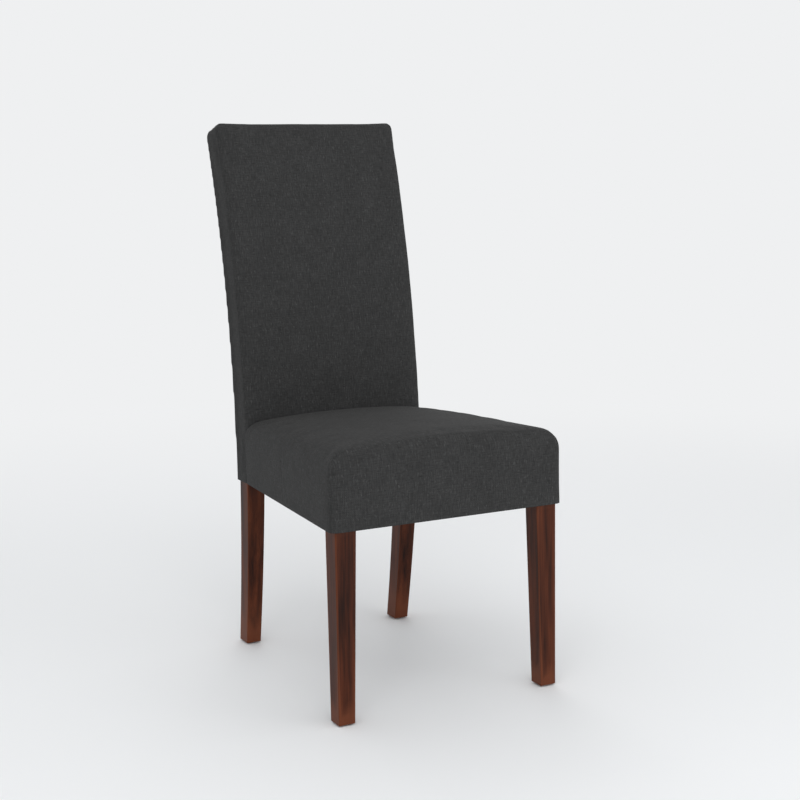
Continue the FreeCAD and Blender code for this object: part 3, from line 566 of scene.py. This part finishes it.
def makeBack():
    bm = bmesh.new()
    bmesh.ops.create_cube(bm, size=1)
    shy = back["shy"]
    half = back["half"] - shy
    deep = back["thickness"] - shy
    for vertex in bm.verts:
        # built flat: x across, y forward, z up the curve
        vertex.co = Vector((math.copysign(half, vertex.co.x),
                            deep if vertex.co.y > 0 else 0,
                            backLength - shy if vertex.co.z > 0 else -back["spare"]))
    corners = [e for e in bm.edges if all(v.co.z > 1 for v in e.verts)
               and abs(e.verts[0].co.y - e.verts[1].co.y) > 1]
    bmesh.ops.bevel(bm, geom=corners, offset=back["topCorner"], segments=back["cornerParts"],
                    profile=0.5, affect="EDGES", material=-1)
    for depth, width, parts in ((deep, back["frontEdge"], back["cornerParts"]),
                                (0, back["rearEdge"], back["rearEdgeParts"])):
        ring = [e for e in bm.edges if all(abs(v.co.y - depth) < near / mm for v in e.verts)
                and not all(v.co.z < 0 for v in e.verts)
                and any(abs(f.normal.y) < 0.5 for f in e.link_faces)]
        bmesh.ops.bevel(bm, geom=ring, offset=width, segments=parts, profile=0.5,
                        affect="EDGES", material=-1)
    for step in range(1, back["slices"]):
        bmesh.ops.bisect_plane(bm, geom=bm.verts[:] + bm.edges[:] + bm.faces[:],
                               plane_co=(0, 0, backLength * step / back["slices"]),
                               plane_no=(0, 0, 1))
    for vertex in bm.verts:
        vertex.co = onCurve(*vertex.co)
    piece = meshPiece("backUpholstery", bm, linenMaterial)
    remesh(piece, back["voxel"])
    low = (back["bottom"] - back["lip"][1]) * mm

    def free(place):
        # held along its lower edge and on the rear face
        reach = math.hypot(place.y - centreY * mm, place.z - back["bottom"] * mm)
        return (between((place.z - low) / mm, *back["lowHold"])
                * between(reach / mm - back["curve"], *back["rearHold"]))

    puffOut(piece, back["puff"], free)
    ripple(piece, *back["ripple"], free)
    refine(piece)
    trim(piece, (0, 0, low), (0, 0, -1), back["lip"])
    mapCloth(piece)
    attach(piece, "root")
    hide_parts("back_cover", "back_wadding", "back_foam")


makeBack()
print("back made")


# The outside back, a flat panel of the same cloth closed over the frame

panel = {
    "inset": 5,  # mm, from the edge of the back
    "topCorner": 11,
    "cornerParts": 5,
    "stand": 0.6,
    "dome": 1.4,
    "thickness": 1.1,
    "cells": 30,
}


def makePanel():
    bm = bmesh.new()
    bmesh.ops.create_grid(bm, x_segments=1, y_segments=1, size=0.5)
    half = back["half"] - panel["inset"]
    high = backLength - panel["inset"]
    for vertex in bm.verts:
        # built flat: x across, z up the curve
        vertex.co = (vertex.co.x * 2 * half, 0, (vertex.co.y + 0.5) * high)
    bmesh.ops.bevel(bm, geom=[v for v in bm.verts if v.co.z > 1], offset=panel["topCorner"],
                    segments=panel["cornerParts"], profile=0.5, affect="VERTICES", material=-1)
    for step in range(1, panel["cells"]):
        share = step / panel["cells"]
        for place, outward in (((half * (2 * share - 1), 0, 0), (1, 0, 0)),
                               ((0, 0, high * share), (0, 0, 1))):
            bmesh.ops.bisect_plane(bm, geom=bm.verts[:] + bm.edges[:] + bm.faces[:],
                                   plane_co=place, plane_no=outward)
    for vertex in bm.verts:
        x, y = vertex.co.x / half, 2 * vertex.co.z / high - 1
        dome = (1 - x ** 4) * (1 - y ** 4)
        vertex.co = onCurve(vertex.co.x, -panel["stand"] - panel["dome"] * dome, vertex.co.z)
    piece = meshPiece("outsideBackCover", bm, linenMaterial)
    step = piece.modifiers.new("cloth", "SOLIDIFY")
    step.thickness = panel["thickness"] * mm
    step.offset = 0
    applyModifiers(piece)
    mapCloth(piece)
    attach(piece, "root")
    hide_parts("rear_cover")


makePanel()
print("outside back made")


# The black cloth under the seat, and the staples that hold it

dust = {
    "margin": 11,  # mm, from the edge of the cover
    "postReach": 43,  # how far the posts come forward of the rear face
    "gap": 1.5,
    "level": 337.4,
    "sag": 2.5,
    "ripple": (0.5, 70),
    "thickness": 0.5,
    "cells": 22,
}


def dustOutline():
    # the cloth's outline in metres, notched round the legs and posts
    low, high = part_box("dust_cover")
    gap = dust["gap"] * mm
    frontX = (seat["frontHalf"] - dust["margin"]) * mm
    rearX = (back["half"] - dust["margin"]) * mm
    leg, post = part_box("front_leg_left"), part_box("rear_post_left")
    legX, legY = leg[0].x - gap, leg[1].y + gap
    postX, postY = post[0].x - gap, (back["rear"] - dust["postReach"]) * mm - gap
    slope = (rearX - frontX) / (high.y - low.y)
    half = [(legX, low.y), (legX, legY), (frontX + slope * (legY - low.y), legY),
            (rearX, postY), (postX, postY), (postX, high.y)]
    return half + [(-x, y) for x, y in reversed(half)]


def makeDustCover():
    low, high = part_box("dust_cover")
    bm = bmesh.new()
    corners = [bm.verts.new((x, y, dust["level"] * mm)) for x, y in dustOutline()]
    bm.faces.new(corners)
    for step in range(1, dust["cells"]):
        place = low + (high - low) * step / dust["cells"]
        for outward in ((1, 0, 0), (0, 1, 0)):
            bmesh.ops.bisect_plane(bm, geom=bm.verts[:] + bm.edges[:] + bm.faces[:],
                                   plane_co=place, plane_no=outward)
    for vertex in bm.verts:
        x, y = vertex.co.x / high.x, 2 * (vertex.co.y - low.y) / (high.y - low.y) - 1
        hang = max(0, 1 - x * x) * max(0, 1 - y * y)
        height, size = dust["ripple"]
        wave = noise.noise(Vector((vertex.co.x, vertex.co.y, 0)) / (size * mm))
        vertex.co.z -= (dust["sag"] + height * wave) * hang * mm
    piece = meshPiece("dustCoverCloth", bm, dustMaterial)
    step = piece.modifiers.new("cloth", "SOLIDIFY")
    step.thickness = dust["thickness"] * mm
    step.offset = 0
    applyModifiers(piece)
    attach(piece, "root")
    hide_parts("dust_cover")


makeDustCover()
print("dust cover made")


staple = {
    "crown": 10,  # mm, flat wire with two legs driven into the rails
    "width": 1.2,
    "thickness": 0.6,
    "edge": 0.15,
    "leg": 5,
    "inside": 6,  # from the edge of the cloth
    "spacing": 46,
    "shortestEdge": 90,
}


def makeStaples():
    # one staple, then a copy at each place along the edges of the cloth
    one = bmesh.new()
    bmesh.ops.create_cube(one, size=1)
    bmesh.ops.scale(one, verts=one.verts,
                    vec=(staple["crown"], staple["width"], staple["thickness"]))
    bend = staple["crown"] / 2 - staple["thickness"]
    for side in (-bend, bend):
        bmesh.ops.bisect_plane(one, geom=one.verts[:] + one.edges[:] + one.faces[:],
                               plane_co=(side, 0, 0), plane_no=(1, 0, 0))
    ends = [f for f in one.faces if f.normal.z > 0.9 and abs(f.calc_center_median().x) > bend]
    grown = bmesh.ops.extrude_face_region(one, geom=ends)["geom"]
    bmesh.ops.delete(one, geom=ends, context="FACES_ONLY")
    bmesh.ops.translate(one, verts=[v for v in grown if isinstance(v, bmesh.types.BMVert)],
                        vec=(0, 0, staple["leg"]))
    bmesh.ops.bevel(one, geom=[e for e in one.edges if e.is_manifold and e.calc_face_angle() > 1],
                    offset=staple["edge"], segments=1, profile=0.5, affect="EDGES", material=-1)
    bmesh.ops.scale(one, verts=one.verts, vec=(mm, mm, mm))
    pattern = bpy.data.meshes.new("staple")
    one.to_mesh(pattern)
    one.free()
    bm = bmesh.new()
    level = (dust["level"] - dust["thickness"]) * mm
    corners = [Vector((x, y, level)) for x, y in dustOutline()]
    for start, end in zip(corners, corners[1:] + corners[:1]):
        along = end - start
        if along.length < staple["shortestEdge"] * mm:
            continue
        inward = Vector((-along.y, along.x, 0)).normalized() * staple["inside"] * mm
        count = round(along.length / (staple["spacing"] * mm))
        for number in range(count):
            place = start + along * (number + 0.5) / count + inward
            known = len(bm.verts)
            bm.from_mesh(pattern)
            bm.verts.ensure_lookup_table()
            turn = Matrix.Rotation(math.atan2(along.y, along.x), 4, "Z")
            bmesh.ops.transform(bm, matrix=Matrix.Translation(place) @ turn,
                                verts=bm.verts[known:])
    piece = meshPiece("dustCoverStaples", bm, zincMaterial, smooth=False)
    bpy.data.meshes.remove(pattern)
    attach(piece, "root")


makeStaples()
print("staples made")


# Floor, lamps and world

stage = {
    "floor": "#f1f2f3",
    "far": "#eff0f1",
    "whitensFrom": 1.1,  # metres from the chair, where its shadow has ended
    "whitensTo": 3.2,
    "size": 60,
    "worldStrength": 0.82,
    "lamps": (  # name, place, size, watts, and what it is turned to
        ("key", (-1.3, -2.8, 3.2), 3.0, 47, (0, 0, 0.4)),
        ("fill", (1.4, -3.2, 0.8), 2.6, 32, (0, 0, 0.4)),
        ("rear", (0.8, 2.8, 2.8), 2.4, 18, (0, 0, 0.6)),
    ),
}


def seenIn(tree):
    # 1 where it is looked at, straight or in something glossy or clear
    path = addNode(tree, "LightPath").outputs
    either = addNode(tree, "Math", {"operation": "MAXIMUM"}, {
        0: path["Is Camera Ray"], 1: path["Is Glossy Ray"]})
    return addNode(tree, "Math", {"operation": "MAXIMUM"}, {
        0: either.outputs[0], 1: path["Is Transmission Ray"]}).outputs[0]


def makeStage():
    bm = bmesh.new()
    bmesh.ops.create_grid(bm, x_segments=1, y_segments=1, size=stage["size"] / 2)
    material, tree, shader = startMaterial("paleFloor", 0.7, 0.3)
    shader.inputs["Base Color"].default_value = colour(stage["floor"])
    # seen directly, it fades into the background
    where = addNode(tree, "TexCoord").outputs["Object"]
    distance = addNode(tree, "VectorMath", {"operation": "LENGTH"}, {0: where}).outputs["Value"]
    fade = addNode(tree, "MapRange", {"interpolation_type": "SMOOTHSTEP"}, {
        "Value": distance, "From Min": stage["whitensFrom"], "From Max": stage["whitensTo"]})
    share = addNode(tree, "Math", {"operation": "MULTIPLY"}, {
        0: fade.outputs[0], 1: seenIn(tree)})
    glow = addNode(tree, "Emission", None, {"Color": colour(stage["far"]), "Strength": 1.0})
    both = addNode(tree, "MixShader", None, {
        0: share.outputs[0], 1: shader.outputs[0], 2: glow.outputs[0]})
    tree.links.new(both.outputs[0], tree.nodes["Material Output"].inputs["Surface"])
    floor = meshPiece("floor", bm, material)
    world = bpy.data.worlds.new("studio")
    world.use_nodes = True
    tree = world.node_tree
    tree.nodes.clear()
    light = addNode(tree, "Background", None, {
        "Color": colour(stage["far"]), "Strength": stage["worldStrength"]})
    behind = addNode(tree, "Background", None, {"Color": colour(stage["far"]), "Strength": 1.0})
    both = addNode(tree, "MixShader", None, {
        0: seenIn(tree), 1: light.outputs[0], 2: behind.outputs[0]})
    addNode(tree, "OutputWorld", None, {"Surface": both.outputs[0]})
    scene.world = world
    for name, place, size, power, aim in stage["lamps"]:
        lamp = bpy.data.lights.new(name, "AREA")
        lamp.shape = "SQUARE"
        lamp.size = size
        lamp.energy = power
        holder = bpy.data.objects.new(name, lamp)
        holder.location = place
        ahead = Vector(aim) - Vector(place)
        holder.rotation_euler = ahead.to_track_quat("-Z", "Y").to_euler()
        scene.collection.objects.link(holder)


makeStage()
scene.view_settings.view_transform = "Standard"
print("stage made")
